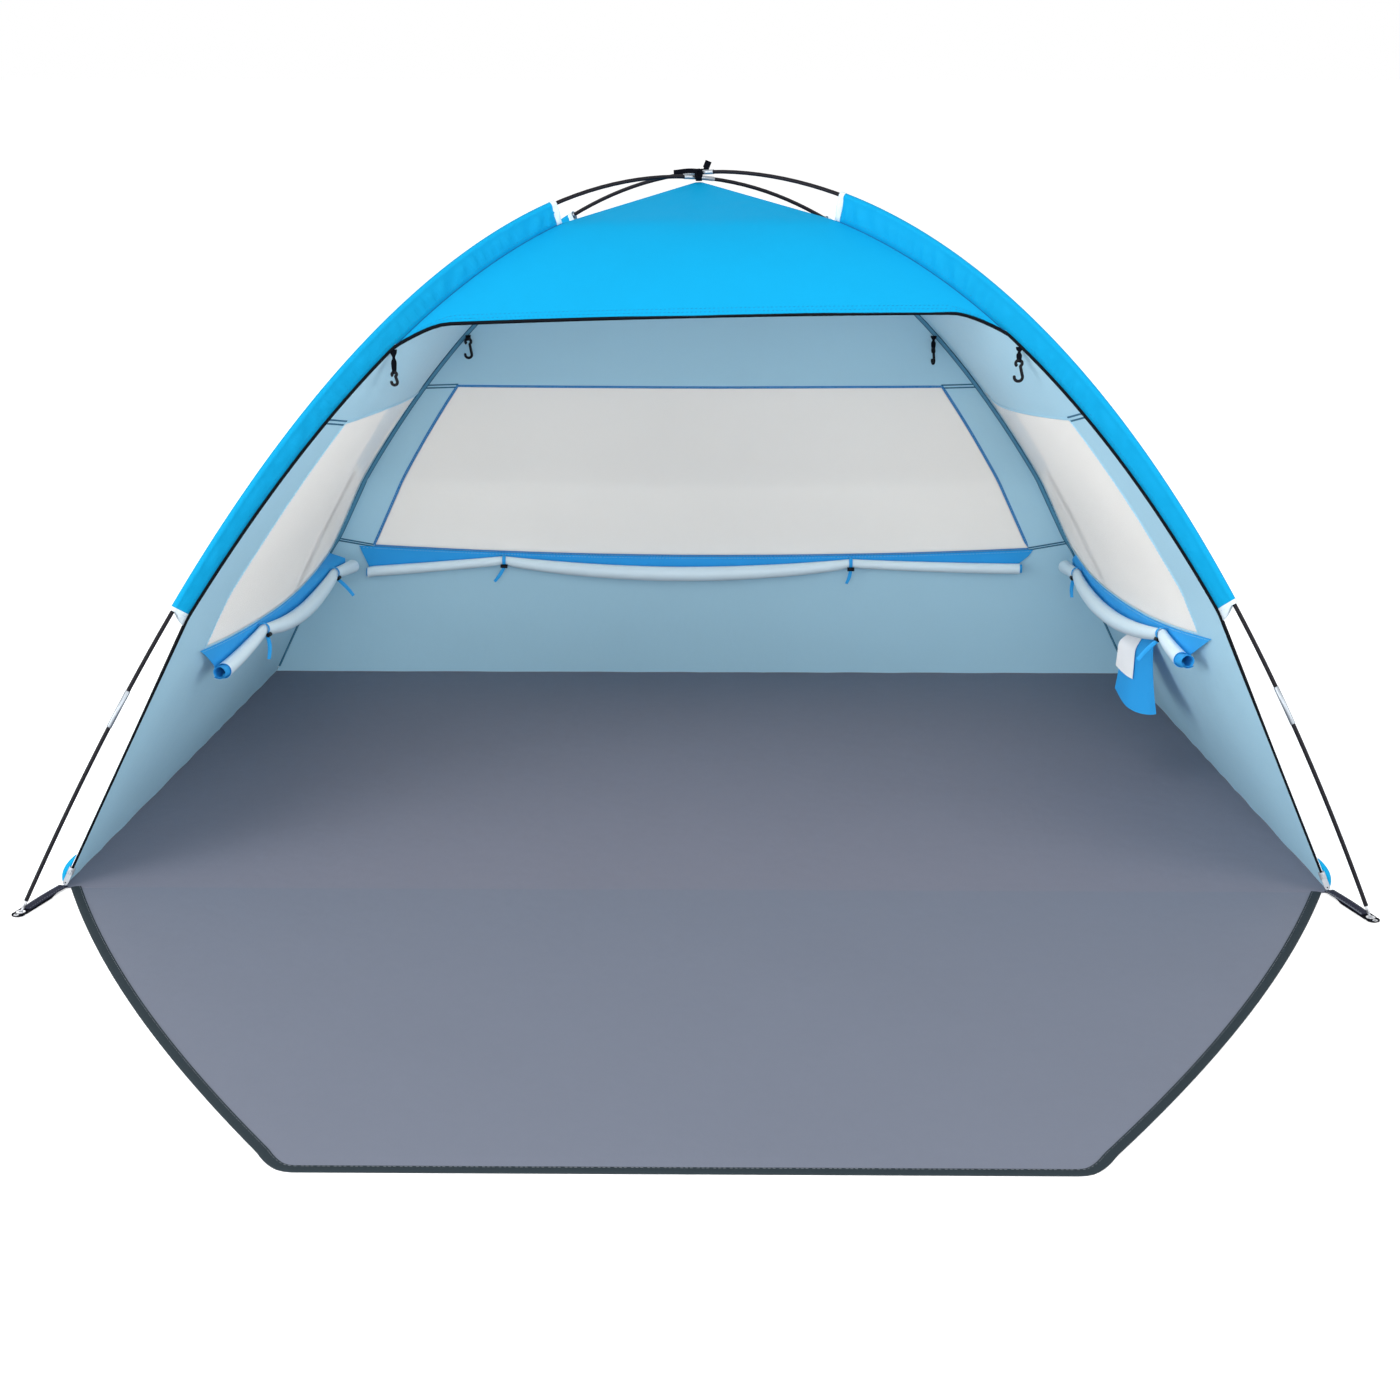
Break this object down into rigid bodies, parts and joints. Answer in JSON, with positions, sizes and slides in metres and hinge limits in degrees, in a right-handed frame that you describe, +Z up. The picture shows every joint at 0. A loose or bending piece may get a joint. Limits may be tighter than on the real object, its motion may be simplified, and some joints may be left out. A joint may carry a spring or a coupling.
{
  "type": "beach tent",
  "caption": "Open-fronted beach tent on crossed arch poles, with netted windows, rolled-up window covers, zipped doorway edge and a fold-out porch floor.",
  "frame": {"origin": "on the ground, straight below the crossing of the poles", "axes": "+Z up, the open front faces -Y, +X to the right as seen from the front"},
  "size_m": [2.5079, 2.6554, 1.2842],
  "materials": {
    "blue_cloth": "coated polyester, satin",
    "silver_coated_cloth": "polyester with a silver coating",
    "window_net": "fine knitted net, matte",
    "floor_cloth": "coated polyester, satin",
    "black_webbing": "woven, matte",
    "black_plastic": "moulded, satin",
    "glass_fibre_rod": "glass-fibre rod, satin black",
    "nickel_plate": "bright plated",
    "label_cloth": "printed-label cloth left blank, matte"
  },
  "bodies": {
    "tent": {"blank_label": "label_cloth", "brow_panel": "blue_cloth", "crown_tie": "black_webbing", "doorway_zip": "black_webbing", "floor_sheet": "floor_cloth", "front_left_eyelet": "nickel_plate", "front_left_sleeve": "blue_cloth", "front_left_strap": "black_webbing", "front_right_eyelet": "nickel_plate", "front_right_sleeve": "blue_cloth", "front_right_strap": "black_webbing", "hanging_tab": "blue_cloth", "left_cover": "silver_coated_cloth", "left_first_tie": "blue_cloth", "left_first_toggle": "black_plastic", "left_pole_front_crown": "glass_fibre_rod", "left_pole_front_leg": "glass_fibre_rod", "left_pole_front_run": "glass_fibre_rod", "left_pole_rear_crown": "glass_fibre_rod", "left_pole_rear_leg": "glass_fibre_rod", "left_pole_rear_run": "glass_fibre_rod", "left_second_tie": "blue_cloth", "left_second_toggle": "black_plastic", "left_wall": "blue_cloth", "left_window": "window_net", "rear_cover": "silver_coated_cloth", "rear_first_tie": "blue_cloth", "rear_first_toggle": "black_plastic", "rear_left_eyelet": "nickel_plate", "rear_left_sleeve": "blue_cloth", "rear_left_strap": "black_webbing", "rear_right_eyelet": "nickel_plate", "rear_right_sleeve": "blue_cloth", "rear_right_strap": "black_webbing", "rear_second_tie": "blue_cloth", "rear_second_toggle": "black_plastic", "rear_wall": "blue_cloth", "rear_window": "window_net", "right_cover": "silver_coated_cloth", "right_first_tie": "blue_cloth", "right_first_toggle": "black_plastic", "right_pole_front_crown": "glass_fibre_rod", "right_pole_front_leg": "glass_fibre_rod", "right_pole_front_run": "glass_fibre_rod", "right_pole_rear_crown": "glass_fibre_rod", "right_pole_rear_leg": "glass_fibre_rod", "right_pole_rear_run": "glass_fibre_rod", "right_second_tie": "blue_cloth", "right_second_toggle": "black_plastic", "right_wall": "blue_cloth", "right_window": "window_net"},
    "porch": {"porch_flap": "floor_cloth"},
    "left_slider": {"left_zip_slider": "nickel_plate"},
    "left_pull": {"left_zip_pull": "nickel_plate"},
    "right_slider": {"right_zip_slider": "nickel_plate"},
    "right_pull": {"right_zip_pull": "nickel_plate"},
    "front_left_hook_body": {"front_left_hook": "black_plastic"},
    "front_right_hook_body": {"front_right_hook": "black_plastic"},
    "rear_left_hook_body": {"rear_left_hook": "black_plastic"},
    "rear_right_hook_body": {"rear_right_hook": "black_plastic"}
  },
  "joints": [
    {"name": "porch_fold", "type": "hinge", "parent": "tent", "child": "porch", "pos_m": [0, -0.7635, 0.002], "axis": [-1, 0, 0], "range_deg": [0, 95]},
    {"name": "left_zip_slide", "type": "slide", "parent": "tent", "child": "left_slider", "axis": [0.4379, 0.1429, 0.8876], "range_m": [0, 0.47]},
    {"name": "left_pull_swing", "type": "hinge", "parent": "left_slider", "child": "left_pull", "pos_m": [-1.17875, -0.76152, 0.03295], "axis": [-0.8968, 0, 0.4424], "range_deg": [0, 150]},
    {"name": "right_zip_slide", "type": "slide", "parent": "tent", "child": "right_slider", "axis": [-0.3944, 0.1137, 0.9119], "range_m": [0, 0.47]},
    {"name": "right_pull_swing", "type": "hinge", "parent": "right_slider", "child": "right_pull", "pos_m": [1.18045, -0.7626, 0.03363], "axis": [-0.9178, 0, -0.397], "range_deg": [0, 150]},
    {"name": "front_left_hook_swing", "type": "hinge", "parent": "tent", "child": "front_left_hook_body", "pos_m": [-0.57841, -0.41482, 0.96447], "axis": [0, 1, 0], "range_deg": [-60, 20]},
    {"name": "rear_left_hook_swing", "type": "hinge", "parent": "tent", "child": "rear_left_hook_body", "pos_m": [-0.52028, 0.37266, 0.87226], "axis": [0, 1, 0], "range_deg": [-60, 20]},
    {"name": "front_right_hook_swing", "type": "hinge", "parent": "tent", "child": "front_right_hook_body", "pos_m": [0.61139, -0.43845, 0.97503], "axis": [0, 1, 0], "range_deg": [-20, 60]},
    {"name": "rear_right_hook_swing", "type": "hinge", "parent": "tent", "child": "rear_right_hook_body", "pos_m": [0.52028, 0.37266, 0.87226], "axis": [0, 1, 0], "range_deg": [-20, 60]}
  ]
}
